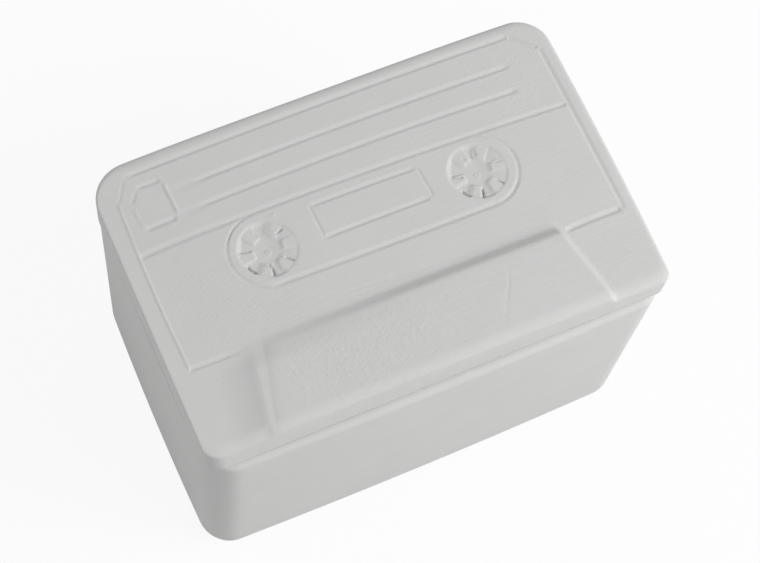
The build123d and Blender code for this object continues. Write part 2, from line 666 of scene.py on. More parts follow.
@dataclass(frozen=True)
class ShellRun:
    """A stretch of a shell whose loops all follow one outline.

    Attributes:
        shell: The shell that grows.
        outline: The outline.
        stations: The stations of the shell's rim.
    """

    shell: Shell
    outline: Outline
    stations: Stations

    def loop(self, inset: Numbers, height: Numbers) -> None:
        """Grows one loop.

        Args:
            inset: How far inside the outline it lies, one number or one a station.
            height: Its height, one number or one a station.
        """
        self.shell.grow(with_height(self.outline.at(self.stations, inset), height))

    def bend(
        self,
        start: tuple[Numbers, Numbers],
        end: tuple[Numbers, Numbers],
        spans: int,
        level_first: bool = False,
        joined: bool = False,
    ) -> None:
        """Grows a quarter round from one inset and height to another.

        Args:
            start: Inset and height where it starts.
            end: Inset and height where it ends.
            spans: Steps that it is made of.
            level_first: Whether it sets out level; if not, it sets out upright.
            joined: Whether its first loop is there already.
        """
        for step in range(int(joined), spans + 1):
            angle = step / spans * math.pi / 2
            across, up = 1 - math.cos(angle), math.sin(angle)
            if level_first:
                across, up = up, across
            self.loop(start[0] + (end[0] - start[0]) * across, start[1] + (end[1] - start[1]) * up)


# ---------------------------------------------------------------- carving
def soft_step(value: np.ndarray, low: float, high: float) -> np.ndarray:
    """Smooth step from 0 at low to 1 at high, for arrays."""
    share = np.clip((value - low) / (high - low), 0, 1)
    return share**2 * (3 - 2 * share)


def soft_ramp(value: np.ndarray, run: float, softness: float) -> np.ndarray:
    """Straight ramp from 0 to 1 over a run, with rounded foot and shoulder.

    Args:
        value: Distance from the foot of the ramp.
        run: Length of the ramp.
        softness: Radius of the rounding at both ends.

    Returns:
        The height of the ramp, from 0 to 1.
    """

    def bent(x: np.ndarray) -> np.ndarray:
        """Zero below zero and straight above, with a rounded bend."""
        return (x + np.sqrt(x**2 + softness**2)) / 2

    return np.clip((bent(value) - bent(value - run)) / run, 0, 1)


class Cut(Enum):
    """What a carved line looks like in section."""

    GROOVE = -1.0
    RIDGE = 1.0


@dataclass(frozen=True)
class Stroke:
    """One carved line.

    Attributes:
        points: Places that it runs through, in the frame of the carving; three are joined by one bend.
        width: Its width.
        depth: How far it goes in or stands out.
        lip: Height of the raised burr on both of its sides.
        fades: How long its two ends take to run out.
        cut: A groove or a ridge.
        lean: By what share its wall on the left, as it is drawn, is wider than the usual one.
        spans: Straight pieces that a bend is drawn with.
        core: Where its section has turned down by two thirds, as a share of its half width.
        squareness: How flat the middle of its section is; 2 is an even bell.
        burr_place: Where the crest of the burr lies, as a share of the half width.
        burr_width: Half the width of the burr, as a share of the half width.
        overrun: How far before its first place and past its last one it starts to show.
    """

    points: tuple[tuple[float, float], ...]
    width: float = 1.7
    depth: float = 0.45
    lip: float = 0.04
    fades: tuple[float, float] = (0.8, 0.8)
    cut: Cut = Cut.GROOVE
    lean: float = 0.0
    spans: int = 12
    core: float = 0.72
    squareness: float = 2.4
    burr_place: float = 1.15
    burr_width: float = 0.45
    overrun: float = 0.3

    def line(self) -> np.ndarray:
        """The points that it is drawn through: a smooth bend where it has three places."""
        ends = np.array(self.points)
        if len(ends) != 3:
            return ends
        share = np.linspace(0, 1, self.spans + 1)[:, None]
        start, middle, end = ends
        pull = 2 * middle - (start + end) / 2
        return (1 - share) ** 2 * start + 2 * share * (1 - share) * pull + share**2 * end

    def height(self, places: np.ndarray) -> np.ndarray:
        """Height that it adds at some places.

        Args:
            places: An array of (x, y) in the frame of the carving.

        Returns:
            One height a place.
        """
        line = self.line()
        reach = 2 * self.width
        low, high = line.min(axis=0) - reach, line.max(axis=0) + reach
        near = np.all((places > low) & (places < high), axis=1)
        some = places[near]
        nearest = np.full(len(some), np.inf)
        run = np.zeros(len(some))
        left = np.zeros(len(some), dtype=bool)
        gone = 0.0
        for start, end in zip(line, line[1:]):
            span = end - start
            length = float(np.hypot(*span))
            away = some - start
            share = away @ span / length**2
            foot = start + np.clip(share, 0, 1)[:, None] * span
            distance = np.hypot(*(some - foot).T)
            closer = distance < nearest
            nearest = np.where(closer, distance, nearest)
            run = np.where(closer, gone + share * length, run)
            left = np.where(closer, span[0] * away[:, 1] > span[1] * away[:, 0], left)
            gone += length
        half = self.width / 2 * np.where(left, 1 + self.lean, 1 - self.lean)
        profile = np.exp(-((nearest / (self.core * half)) ** self.squareness)) * self.depth * self.cut.value
        from_crest = (nearest - self.burr_place * half) / (self.burr_width * half)
        burr = np.exp(-(from_crest**2)) * self.lip
        fade_in, fade_out = self.fades
        ends = soft_step(run, -self.overrun, fade_in) * soft_step(gone - run, -self.overrun, fade_out)
        raised = np.zeros(len(places))
        raised[near] = (profile + burr) * ends
        return raised


def ridge(points: tuple[tuple[float, float], ...], width: float, depth: float) -> Stroke:
    """A low ridge without a burr.

    Args:
        points: Places that it runs through, in the frame of the carving.
        width: Its width.
        depth: How far it stands out.

    Returns:
        The ridge.
    """
    return Stroke(points, width, depth, 0.0, cut=Cut.RIDGE)


@dataclass(frozen=True)
class Tooth:
    """A wedge of clay left standing on the wall of a reel.

    Attributes:
        turn: Its direction from the reel's middle, in degrees.
        width: Its width as a share of the usual one.
        top: How far its top stays below the lid's face.
        tip: Distance of its tip from the reel's middle.
        clockwise: Half the run of its flank on the clockwise side.
        anticlockwise: Half the run of its other flank.
        nose: Half the run of its tip.
        tip_width: Usual width at the tip.
        root_width: Usual width at the wall.
    """

    turn: float
    width: float = 1.0
    top: float = 0.25
    tip: float = 4.5
    clockwise: float = 0.3
    anticlockwise: float = 0.3
    nose: float = 0.35
    tip_width: float = 2.9
    root_width: float = 4.5

    def share(self, x: np.ndarray, y: np.ndarray, wall: float) -> np.ndarray:
        """How much of the tooth stands at some places.

        Args:
            x: Places along X, from the reel's middle.
            y: Places along Y, from the reel's middle.
            wall: Radius of the wall that it stands on.

        Returns:
            1 on its top, 0 beside it, and between on its flanks.
        """
        angle = math.radians(self.turn)
        along = x * math.cos(angle) + y * math.sin(angle)
        across = y * math.cos(angle) - x * math.sin(angle)
        half = self.width / 2 * np.interp(along, (self.tip, wall), (self.tip_width, self.root_width))
        anticlockwise = soft_step(half - across, -self.anticlockwise, self.anticlockwise)
        clockwise = soft_step(half + across, -self.clockwise, self.clockwise)
        return anticlockwise * clockwise * soft_step(along, self.tip - self.nose, self.tip + self.nose)


@dataclass(frozen=True)
class Reel:
    """A round dish with wedge teeth left standing on its wall.

    Its rim is bevelled on one side, and its floor rises towards the other.

    Attributes:
        centre: Its middle, in the frame of the carving.
        teeth: The teeth.
        mark: Place of the small ring at its middle, from the centre.
        radius: Radius of the socket at its wall.
        depth: Depth of its floor.
        rise: How much the floor rises.
        rise_reach: Where the rise starts and ends, from the centre.
        rise_turn: The direction of the rise, in degrees.
        wall: Width of the wall.
        open_turn: The direction in which the rim is bevelled, in degrees.
        open_run: Width of the bevel there.
        open_drop: Height of the bevel there.
        ring_radius: Radius of the small ring.
        ring_width: Its width.
        ring_height: Its height.
    """

    centre: tuple[float, float]
    teeth: tuple[Tooth, ...]
    mark: tuple[float, float] = (0.0, 0.0)
    radius: float = 8.9
    depth: float = 0.95
    rise: float = 0.7
    rise_reach: tuple[float, float] = (-1.0, 7.5)
    rise_turn: float = -12.0
    wall: float = 0.7
    open_turn: float = 148.0
    open_run: float = 0.9
    open_drop: float = 0.85
    ring_radius: float = 0.6
    ring_width: float = 0.28
    ring_height: float = 0.22

    def carve(self, places: np.ndarray, face: np.ndarray) -> np.ndarray:
        """Cuts the socket into the face and stands the teeth in it.

        Args:
            places: An array of (x, y) in the frame of the carving.
            face: The height of the face at each.

        Returns:
            The new heights.
        """
        x, y = (places - np.array(self.centre)).T
        out = np.hypot(x, y)
        near = out < self.radius + 2 * self.open_run
        x, y, out = x[near], y[near], out[near]
        opened = np.clip(np.cos(np.arctan2(y, x) - math.radians(self.open_turn)), 0, 1)
        run = self.open_run * opened
        down_bevel = np.clip((self.radius + run - out) / (run + self.wall / 2), 0, 1)
        bevel = -self.open_drop * opened * down_bevel
        turn = math.radians(self.rise_turn)
        floor = self.rise * soft_step(x * math.cos(turn) + y * math.sin(turn), *self.rise_reach) - self.depth
        ring = np.hypot(x - self.mark[0], y - self.mark[1]) - self.ring_radius
        floor += self.ring_height * np.exp(-((ring / self.ring_width) ** 2))
        raised = floor
        for tooth in self.teeth:
            stand = floor + (-tooth.top - floor) * tooth.share(x, y, self.radius)
            raised = np.maximum(raised, stand)
        sunk = raised * (1 - soft_step(out, self.radius - self.wall, self.radius + self.wall / 2))
        carved = face.copy()
        carved[near] += np.minimum(np.maximum(bevel, raised), sunk)
        return carved


@dataclass(frozen=True)
class HeadBlock:
    """The raised trapezoid that runs out to the front edge.

    Its right end is a plain slope. Its left end is a long hollow ramp up to a crease, a flat strip and
    a soft shoulder, and the block is lower there.

    Attributes:
        raise_by: Its full height.
        back: Place of its back edge, at the top of the slope.
        back_run: Length of the slope at its back.
        lead_in: Height of the faint swelling behind that slope.
        lead_run: Length of that swelling.
        right_edge: Place of its right end at the back, at the top of the slope.
        right_flare: How much further right that end lies for each millimetre to the front.
        right_run: Length of the slope there.
        right_sharpness: How many times sharper the foot and shoulder of that slope are than the others.
        crease: Place of the crease at the back.
        crease_flare: How much further left the crease lies for each millimetre to the front.
        ramp_run: Length of the ramp up to the crease.
        ramp_rise: Height of the ramp.
        step_rise: Height of the step at the crease.
        step_reach: Where the step starts and ends, from the crease.
        back_share: Share of the ramp and the step that is left at the back.
        grow_reach: Between which places in front of the back edge they grow to their full height.
        strip: Place of the shoulder at the back, right of the flat strip.
        strip_flare: How much further left the shoulder lies for each millimetre to the front.
        shoulder_rise: Height of the shoulder.
        shoulder_extra: How much higher the shoulder is at the back, as a share.
        shoulder_run: How long the shoulder takes to level out.
        settle: Between which places along X the top climbs to its full height.
        softness: Radius of its rounded foot and shoulder.
    """

    raise_by: float = 3.2
    back: float = -23.0
    back_run: float = 3.1
    lead_in: float = 0.05
    lead_run: float = 3.0
    right_edge: float = 48.3
    right_flare: float = 0.2375
    right_run: float = 1.8
    right_sharpness: float = 3.0
    crease: float = -52.2
    crease_flare: float = 0.173
    ramp_run: float = 11.0
    ramp_rise: float = 1.6
    step_rise: float = 0.3
    step_reach: tuple[float, float] = (-0.3, 1.6)
    back_share: float = 0.35
    grow_reach: tuple[float, float] = (-1.0, 6.0)
    strip: float = -47.6
    strip_flare: float = 0.245
    shoulder_rise: float = 0.4
    shoulder_extra: float = 0.9
    shoulder_run: float = 2.0
    settle: tuple[float, float] = (-52.0, 20.0)
    softness: float = 0.8

    def height(self, places: np.ndarray) -> np.ndarray:
        """Height that it adds at some places.

        Args:
            places: An array of (x, y) in the frame of the carving.

        Returns:
            One height a place.
        """
        x, y = places.T
        ahead = self.back - y
        behind = soft_ramp(self.back_run + ahead, self.back_run, self.softness)
        lead = soft_step(ahead, -self.back_run - self.lead_run, -self.back_run)
        behind += self.lead_in * lead * (1 - behind)
        from_foot = self.right_edge + self.right_flare * ahead + self.right_run - x
        right = soft_ramp(from_foot, self.right_run, self.softness / self.right_sharpness)
        past_crease = x - self.crease + self.crease_flare * ahead
        past_strip = x - self.strip + self.strip_flare * ahead
        grown = self.back_share + (1 - self.back_share) * soft_step(ahead, *self.grow_reach)
        ramp = self.ramp_rise * np.clip(1 + past_crease / self.ramp_run, 0, 1) ** 2 * grown
        step = self.step_rise * soft_step(past_crease, *self.step_reach) * grown
        shoulder = self.shoulder_rise * (1 - np.exp(-np.maximum(past_strip, 0) / self.shoulder_run))
        shoulder *= 1 + self.shoulder_extra * (1 - grown)
        top = ramp + step + shoulder
        top += (self.raise_by - top) * soft_step(x, *self.settle)
        return top * behind * right


@dataclass(frozen=True)
class Bump:
    """A small lump left on the face.

    Attributes:
        centre: Its middle, in the frame of the carving.
        radius: Where it has come down to about a third of its height.
        height: Its height.
    """

    centre: tuple[float, float]
    radius: float
    height: float

    def raised(self, places: np.ndarray) -> np.ndarray:
        """Height that it adds at some places."""
        away = np.hypot(*(places - np.array(self.centre)).T)
        return self.height * np.exp(-((away / self.radius) ** 2))


@dataclass(frozen=True)
class Carving:
    """Everything cut into the lid's face, in a frame that is turned and shifted a little on the lid.

    Attributes:
        turn: Degrees that the carving is turned on the lid.
        shift: How far right of the lid's middle its own middle lies.
        pill_left: Middle of the left round end of the long groove.
        pill_right: Middle of its right round end.
        pill_radius: Radius of those ends.
        arc_places: How many places one of its curved lines is drawn through.
        block: The raised head block.
    """

    turn: float = -0.55
    shift: float = 0.6
    pill_left: tuple[float, float] = (-34.9, 5.6)
    pill_right: tuple[float, float] = (34.8, 5.45)
    pill_radius: float = 11.8
    arc_places: int = 16
    block: HeadBlock = HeadBlock()

    def arc(self, centre: tuple[float, float], start: float, end: float) -> tuple[tuple[float, float], ...]:
        """Places along one of the round ends of the long groove.

        Args:
            centre: Middle of the round end.
            start: Where it starts, in degrees.
            end: Where it ends.

        Returns:
            The places.
        """
        return tuple(
            (centre[0] + self.pill_radius * math.cos(angle), centre[1] + self.pill_radius * math.sin(angle))
            for angle in np.radians(np.linspace(start, end, self.arc_places))
        )

    def strokes(self) -> list[Stroke]:
        """All the carved lines."""
        return [*self.border(), *self.lines(), *self.window(), *self.badge(), *self.pill()]

    def border(self) -> list[Stroke]:
        """The border, which the head block interrupts."""
        return [
            ridge(((-70.4, 35.0), (-70.7, 6.5), (-69.7, -21.4)), 0.75, 0.33),
            Stroke(((-70.3, 35.1), (-66.4, 41.6)), 0.8, 0.2, 0.02),
            Stroke(((-66.6, 42.5), (-1.0, 43.9), (61.5, 43.9)), 1.9, 0.47, fades=(5.0, 0.8), lean=0.2),
            Stroke(((61.5, 43.9), (69.1, 36.9)), 1.3, 0.46, 0.03),
            Stroke(((69.1, 36.9), (69.8, 7.9), (70.2, -22.0)), 1.6, 0.31, 0.03, lean=0.6),
            Stroke(((50.6, -22.1), (59.6, -21.7), (69.6, -21.7)), 2.1, 0.56, fades=(2.0, 0.8)),
            Stroke(((-51.0, -21.3), (-70.0, -21.1)), 1.9, 0.4, fades=(10.0, 0.8), lean=-0.3),
        ]

    def lines(self) -> list[Stroke]:
        """The divider and the two stripes, which start wide and shallow on the left."""
        return [
            Stroke(((-70.6, 16.7), (-58.0, 17.6), (-44.0, 17.9)), 2.3, 0.43, fades=(1.0, 0.2)),
            Stroke(((-44.0, 17.9), (14.0, 17.9), (69.1, 16.3)), 1.7, 0.5, fades=(0.2, 0.8)),
            Stroke(((-50.9, 33.7), (3.1, 34.8), (58.1, 34.5)), 1.8, 0.5, fades=(9.0, 2.5)),
            Stroke(((-54.0, 33.4), (-42.0, 34.0)), 3.2, 0.16, 0.0, fades=(3.0, 6.0)),
            Stroke(((-52.9, 25.6), (3.1, 26.8), (57.2, 26.0)), 1.8, 0.5, fades=(9.0, 2.0)),
            Stroke(((-55.0, 25.2), (-43.0, 25.9)), 3.2, 0.16, 0.0, fades=(3.0, 6.0)),
        ]

    def window(self) -> list[Stroke]:
        """The window between the reels."""
        return [
            Stroke(((-17.9, 13.7), (0.0, 13.8), (17.4, 13.5)), 1.7, 0.47, fades=(2.5, 2.5)),
            Stroke(((-17.9, 2.7), (0.0, 2.9), (17.4, 2.9)), 1.7, 0.47, fades=(2.5, 2.5)),
            Stroke(((-18.0, 13.8), (-17.4, 2.6)), 0.9, 0.28, 0.03),
            Stroke(((17.3, 13.6), (18.2, 3.0)), 0.9, 0.28, 0.03),
        ]

    def badge(self) -> list[Stroke]:
        """The plain outline at the left end of the stripes."""
        return [
            ridge(((-66.9, 31.9), (-66.0, 25.6)), 0.7, 0.28),
            Stroke(((-66.7, 33.4), (-64.1, 37.2)), 0.9, 0.3, 0.02),
            Stroke(((-63.4, 38.0), (-56.4, 38.0)), 1.6, 0.47),
            ridge(((-55.6, 36.6), (-54.9, 25.8)), 1.2, 0.4),
            Stroke(((-65.4, 24.4), (-56.0, 24.8)), 1.9, 0.5),
        ]

    def pill(self) -> list[Stroke]:
        """The long groove round both reels: its front side and its two ends."""
        left, right = self.pill_left, self.pill_right
        foot = (left[1] + right[1]) / 2 - self.pill_radius
        return [
            Stroke(((-40.0, foot + 0.4), (0.0, foot), (36.0, foot)), 1.9, 0.5, fades=(8.0, 1.0)),
            Stroke(self.arc(left, 92, 205), 0.95, 0.36, 0.07, fades=(0.2, 4.0)),
            Stroke(self.arc(left, 180, 262), 1.25, 0.34, 0.05, fades=(6.0, 4.0)),
            Stroke(self.arc(right, 90, 10), 1.0, 0.27, fades=(0.2, 4.0)),
            Stroke(self.arc(right, 30, -45), 1.2, 0.32, lean=0.25, fades=(4.0, 4.0)),
            Stroke(self.arc(right, -20, -90), 1.6, 0.4, lean=0.15, fades=(5.0, 0.4)),
        ]

    def reels(self) -> list[Reel]:
        """The two toothed sockets."""
        return [
            Reel(
                (-34.25, 5.35),
                teeth=(
                    Tooth(0, 0.95, 0.12, tip=3.9, nose=0.9),
                    Tooth(58, 1.0, 0.3, tip=4.0, anticlockwise=2.0, nose=0.8),
                    Tooth(122, 1.1, 0.45, anticlockwise=0.6, nose=0.45),
                    Tooth(180, 0.95, 0.42, anticlockwise=0.45),
                    Tooth(241, 1.0, 0.3, clockwise=1.3, anticlockwise=0.25),
                    Tooth(299, 1.05, 0.2, tip=4.0, clockwise=0.9, anticlockwise=0.25, nose=0.8),
                ),
                mark=(-0.6, -0.7),
            ),
            Reel(
                (34.45, 5.4),
                teeth=(
                    Tooth(-1, 0.9, 0.12, tip=3.7, nose=0.9),
                    Tooth(62, 1.0, 0.3, tip=4.0, anticlockwise=1.8, nose=0.8),
                    Tooth(118, 1.15, 0.45, anticlockwise=0.7, nose=0.7),
                    Tooth(183, 0.85, 0.42, anticlockwise=0.6),
                    Tooth(238, 0.95, 0.3, clockwise=1.3, anticlockwise=0.25),
                    Tooth(297, 1.0, 0.2, tip=4.0, clockwise=0.9, anticlockwise=0.25, nose=0.8),
                ),
                mark=(-0.9, -0.9),
                open_run=1.1,
                open_drop=0.95,
            ),
        ]

    def slits(self) -> list[Stroke]:
        """What lies over the rest: tool slits and crests on the teeth, a burr, a notch and a scratch."""
        deep = (0.75, 1.1, 0.05)
        light = (0.6, 0.45, 0.04)
        cuts = (
            (((-42.1, 2.6), (-41.7, 1.2), (-40.5, -0.3)), *deep),
            (((-36.0, 0.8), (-35.6, -0.7), (-35.7, -2.6)), *deep),
            (((-37.7, 1.5), (-36.8, 1.0), (-36.1, 0.6)), *light),
            (((-30.7, 1.3), (-28.7, -0.6)), 0.5, 0.9, 0.05),
            (((-30.6, 9.2), (-28.3, 10.1)), 0.8, 0.6, 0.05),
            (((-42.5, 7.6), (-41.3, 7.1), (-39.5, 6.8)), 0.7, 0.5, 0.04),
            (((-36.4, 11.8), (-35.7, 10.1)), 0.7, 0.45, 0.03),
            (((27.2, 1.4), (27.8, -0.2), (28.9, -1.2)), *deep),
            (((33.1, -0.2), (32.9, -1.6), (32.4, -3.0)), *deep),
            (((38.1, 0.8), (39.2, 0.1), (39.9, -1.2)), 0.5, 0.9, 0.05),
            (((25.9, 6.8), (27.2, 6.0), (29.1, 5.5)), 0.7, 0.5, 0.04),
            (((31.5, 11.3), (32.7, 9.4)), 0.6, 0.4, 0.03),
            (((40.0, 6.4), (42.3, 6.2)), *light),
        )
        crests = (
            (((-34.0, 12.8), (-33.2, 10.7)), 0.5, 0.15),
            (((-33.2, 10.7), (-32.5, 12.8)), 0.5, 0.15),
            (((35.1, 9.9), (34.9, 11.4), (35.6, 12.8)), 0.6, 0.2),
            (((35.6, 12.8), (36.6, 11.5), (35.9, 9.9)), 0.6, 0.2),
            (((-29.8, 6.6), (-29.7, 3.7)), 0.9, 0.12),
            (((-33.0, 0.0), (-32.9, -2.8)), 0.9, 0.12),
            (((38.8, 6.0), (38.7, 3.8)), 0.9, 0.12),
            (((35.8, 0.4), (36.1, -2.8)), 0.9, 0.12),
            (((70.4, -22.4), (69.9, -23.6), (68.4, -24.0)), 0.6, 0.14),
        )
        notch = Stroke(((-55.8, -45.0), (-56.2, -51.0)), 6.0, 0.5, 0.0, (2.0, 0.1), lean=-0.35)
        scratch = Stroke(((28.7, -28.5), (20.3, -43.6)), 0.9, 0.15, 0.05, (1.0, 1.5))
        over = [Stroke(*cut, fades=(0.3, 0.3)) for cut in cuts] + [ridge(*crest) for crest in crests]
        return over + [notch, scratch]

    def lumps(self) -> list[Bump]:
        """Small lumps."""
        return [Bump((-29.0, 14.9), 0.5, 0.18), Bump((-23.7, 10.3), 0.4, 0.18)]

    def height(self, plan: np.ndarray, middle: tuple[float, float]) -> np.ndarray:
        """Height of the carving above the lid's face.

        Args:
            plan: An array of (x, y) in the frame of the model.
            middle: The lid's middle.

        Returns:
            One height a place.
        """
        angle = math.radians(-self.turn)
        turned = np.array([[math.cos(angle), math.sin(angle)], [-math.sin(angle), math.cos(angle)]])
        places = (plan - np.array(middle) - np.array([self.shift, 0.0])) @ turned
        face = np.zeros(len(places))
        for stroke in self.strokes():
            added = stroke.height(places)
            face = np.where(np.abs(added) > np.abs(face), added, face)
        for lump in self.lumps():
            face += lump.raised(places)
        for reel in self.reels():
            face = reel.carve(places, face)
        for slit in self.slits():
            face += slit.height(places)
        return face + self.block.height(places)


# ---------------------------------------------------------------- pieces
def spaced(stops: tuple[float, ...], spacings: tuple[float, ...]) -> np.ndarray:
    """Grid lines through some stops.

    Args:
        stops: Places that a line runs through.
        spacings: About how far apart the lines are in each stretch between two stops.

    Returns:
        The places of all the lines.
    """
    lines = [
        np.linspace(start, end, max(1, round((end - start) / spacing)), endpoint=False)
        for start, end, spacing in zip(stops, stops[1:], spacings)
    ]
    return np.append(np.concatenate(lines), stops[-1])


@dataclass(frozen=True)
class Field:
    """The dense grid of the carved face, whose corners are drawn in to round ones.

    Attributes:
        columns: Places of its grid lines along X, from the middle of the lid.
        rows: Places of its grid lines along Y.
        corners: Radii of its corners.
    """

    columns: np.ndarray
    rows: np.ndarray
    corners: Corners

    @property
    def middle(self) -> np.ndarray:
        """Its own middle."""
        return np.array([self.columns[0] + self.columns[-1], self.rows[0] + self.rows[-1]]) / 2

    @property
    def half(self) -> np.ndarray:
        """Half its size along both axes."""
        return np.array([self.columns[-1] - self.columns[0], self.rows[-1] - self.rows[0]]) / 2

    def make(self, shell: Shell) -> np.ndarray:
        """Makes the grid in an empty shell.

        Args:
            shell: The shell.

        Returns:
            Where each of its vertices lies in the square-cornered grid, as (x, y) from its middle.
        """
        spans_x, spans_y = len(self.columns) - 1, len(self.rows) - 1
        bmesh.ops.create_grid(shell.mesh, x_segments=spans_x, y_segments=spans_y, size=1.0)
        unit = np.array([vert.co[:2] for vert in shell.mesh.verts])
        across, along = np.rint((unit + 1) / 2 * (spans_x, spans_y)).astype(int).T
        return np.column_stack([self.columns[across], self.rows[along]]) - self.middle

    def drawn_in(self, local: np.ndarray) -> tuple[np.ndarray, np.ndarray]:
        """How far out places in the corners end up when the corners are drawn in.

        Args:
            local: Places in the square-cornered grid, from its middle.

        Returns:
            Shares of the corner's radius along both axes, and whether each place lies in a corner.
        """
        radius = self.corners.near(*local.T)[:, None]
        share = np.clip((np.abs(local) - (self.half - radius)) / radius, 0, 1)
        in_corner = np.all(share > 0, axis=1)[:, None]
        return share * np.sqrt(1 - share[:, ::-1] ** 2 / 2), in_corner

    def rounded(self, local: np.ndarray) -> np.ndarray:
        """Places in the round-cornered field, from the middle of the lid.

        Args:
            local: Places in the square-cornered grid, from its middle.

        Returns:
            An array of (x, y).
        """
        radius = self.corners.near(*local.T)[:, None]
        share, in_corner = self.drawn_in(local)
        shifted = np.sign(local) * (self.half - radius + share * radius)
        return self.middle + np.where(in_corner, shifted, local)

    def stations(self, local: np.ndarray) -> Stations:
        """Stations of places on its rim.

        Args:
            local: Places in the square-cornered grid, from its middle.

        Returns:
            The stations.
        """
        x, y = local.T
        near, half = self.corners.near, self.half
        low = np.stack([near(-1, y) - half[0], near(x, -1) - half[1]], axis=1)
        high = np.stack([half[0] - near(1, y), half[1] - near(x, 1)], axis=1)
        core = np.clip(2 * (local - low) / (high - low) - 1, -1, 1)
        share, in_corner = self.drawn_in(local)
        straight_out = np.where(np.isclose(np.abs(local), half), np.sign(local), 0.0)
        return Stations(core, np.where(in_corner, np.sign(local) * share, straight_out))


@dataclass(frozen=True)
class Lid:
    """The carved cap with the flange that drops into the box.

    Attributes:
        finish: Its clay.
        carving: What is carved on its face.
        corners: Corner radii of its outline.
        swell: How far the middles of its sides stand out.
        squareness: How flat the middles of its long sides are.
        skew_left: How much further out the back end of its left side lies than the middle.
        bulge_left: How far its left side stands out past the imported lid.
        worn_back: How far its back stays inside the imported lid.
        side: Height of its face over its seat.
        reach: How far in from each side the rounding of the top edge starts.
        drop: How far down each side that rounding ends.
        lean: How far the front leans in at the top, at its left and right ends.
        round_spans: Steps of the rounding of the top edge.
        side_shares: Shares of the way down the side at which it has a loop.
        lower_round: Rounding of its lower edge.
        field_margin: Plain strip between the carved field and the rounding.
        field_corners: Corner radii of the carved field.
        column_stops: Places along X, between the field's ends, where the spacing of its grid changes.
        column_spacings: About how far apart the grid's columns are in each stretch.
        row_stops: The same places along Y.
        row_spacings: The same spacings of the rows.
        plate: Thickness of the carved plate over the hollow.
        seat_edge: Size of the small bevel between the seat and the flange.
        flange_depth: How far the flange hangs into the box.
        flange_wall: Thickness of the flange.
        flange_tip: Rounding of its two lower edges.
        flange_play: Gap between the flange and the box's inner wall.
        mouth_wall: Thickness of the box's wall.
        flange_corners: Corner radii of the flange.
        flange_swell: How far the middles of the flange's sides stand out.
        hollow_round: Rounding between the flange and the hollow's ceiling.
        ceiling_rings: Insets of the last loops on that ceiling.
    """

    finish: Bisque
    carving: Carving = Carving()
    corners: Corners = Corners(6.0, 3.2, 12.0, 10.0)
    swell: Sides = Sides(0.1, 0.8, 0.0, 0.9)
    squareness: float = 4.0
    skew_left: float = 0.3
    bulge_left: float = 0.3
    worn_back: float = 0.3
    side: float = 11.0
    reach: Sides = Sides(0.7, 1.7, 3.8, 3.2)
    drop: Sides = Sides(0.6, 1.6, 2.7, 2.0)
    lean: tuple[float, float] = (0.9, 0.2)
    round_spans: int = 10
    side_shares: tuple[float, ...] = (0.3, 0.6, 0.85, 1.0)
    lower_round: Sides = Sides(0.3, 0.8, 0.9, 0.8)
    field_margin: float = 0.5
    field_corners: Corners = Corners(5.0, 5.0, 8.0, 8.0)
    column_stops: tuple[float, ...] = (
        *(-68, -64, -58, -47, -43.5, -23.5, -19.5, -16),
        *(16, 19.5, 24.5, 45, 48.5, 57.5, 60.5),
    )
    column_spacings: tuple[float, ...] = (
        *(0.4, 0.5, 0.6, 0.4, 0.5, 0.3, 0.6, 0.4),
        *(1.0, 0.4, 0.6, 0.3, 0.45, 0.4, 0.8, 0.42),
    )
    row_stops: tuple[float, ...] = (-43, -25.5, -17.5, -8.5, -4.5, 15, 19.5, 23.5, 28, 32, 36.5, 40)
    row_spacings: tuple[float, ...] = (0.5, 0.9, 0.35, 0.9, 0.4, 0.3, 0.4, 0.9, 0.4, 0.7, 0.4, 0.45, 0.35)
    plate: float = 5.5
    seat_edge: float = 0.4
    flange_depth: float = 6.0
    flange_wall: float = 4.5
    flange_tip: float = 1.0
    flange_play: float = 1.8
    mouth_wall: float = 5.0
    flange_corners: Corners = Corners(5.5, 5.5, 7.0, 5.5)
    flange_swell: float = 0.8
    hollow_round: float = 2.0
    ceiling_rings: tuple[float, ...] = (8.0, 14.0)

    def outline(self) -> Outline:
        """The outer outline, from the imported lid."""
        low, high = (np.array(corner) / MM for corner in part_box("lid"))
        low[0] -= self.bulge_left
        high[1] -= self.worn_back
        size, middle = high - low, (high + low) / 2
        return Outline(
            length=size[0],
            width=size[1],
            corners=self.corners,
            swell=self.swell,
            centre=(middle[0], middle[1]),
            squareness=self.squareness,
            skew_left=self.skew_left,
        )

    def build(self) -> bpy.types.Object:
        """Builds the lid.

        Returns:
            The piece.
        """
        shell = Shell()
        outline = self.outline()
        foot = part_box("box")[1].z / MM
        face = foot + self.side
        stations, inner = self.carve_field(shell, outline, face)
        reach, drop, lower = (size.around(stations) for size in (self.reach, self.drop, self.lower_round))
        below = outline.at(stations)
        towards_front = np.clip(-stations.outward[:, 1], 0, 1) ** 2
        lean = towards_front * np.interp(stations.core[:, 0], (-1, 1), self.lean)
        above = outline.at(stations, lean)
        gap = reach + self.field_margin + towards_front * max(self.lean) - lean
        for angle in np.radians(np.linspace(0, 90, self.round_spans + 1)):
            share = reach * (1 - math.sin(angle)) / gap
            plan = above + (inner - above) * share[:, None]
            top = face + self.carving.height(plan, outline.centre)
            shell.grow(with_height(plan, top - drop * (1 - math.cos(angle))))
        shoulder = face + self.carving.height(above, outline.centre) - drop
        for share in self.side_shares:
            plan = above + (below - above) * share
            shell.grow(with_height(plan, shoulder + (foot + lower - shoulder) * share))
        edge = ShellRun(shell, outline, stations)
        edge.bend((0.0, foot + lower), (lower, foot), 3, joined=True)
        self.hollow_out(shell, stations, foot, outline.centre)
        return shell.finish("clay_lid", "lid", "lid", self.finish.material())

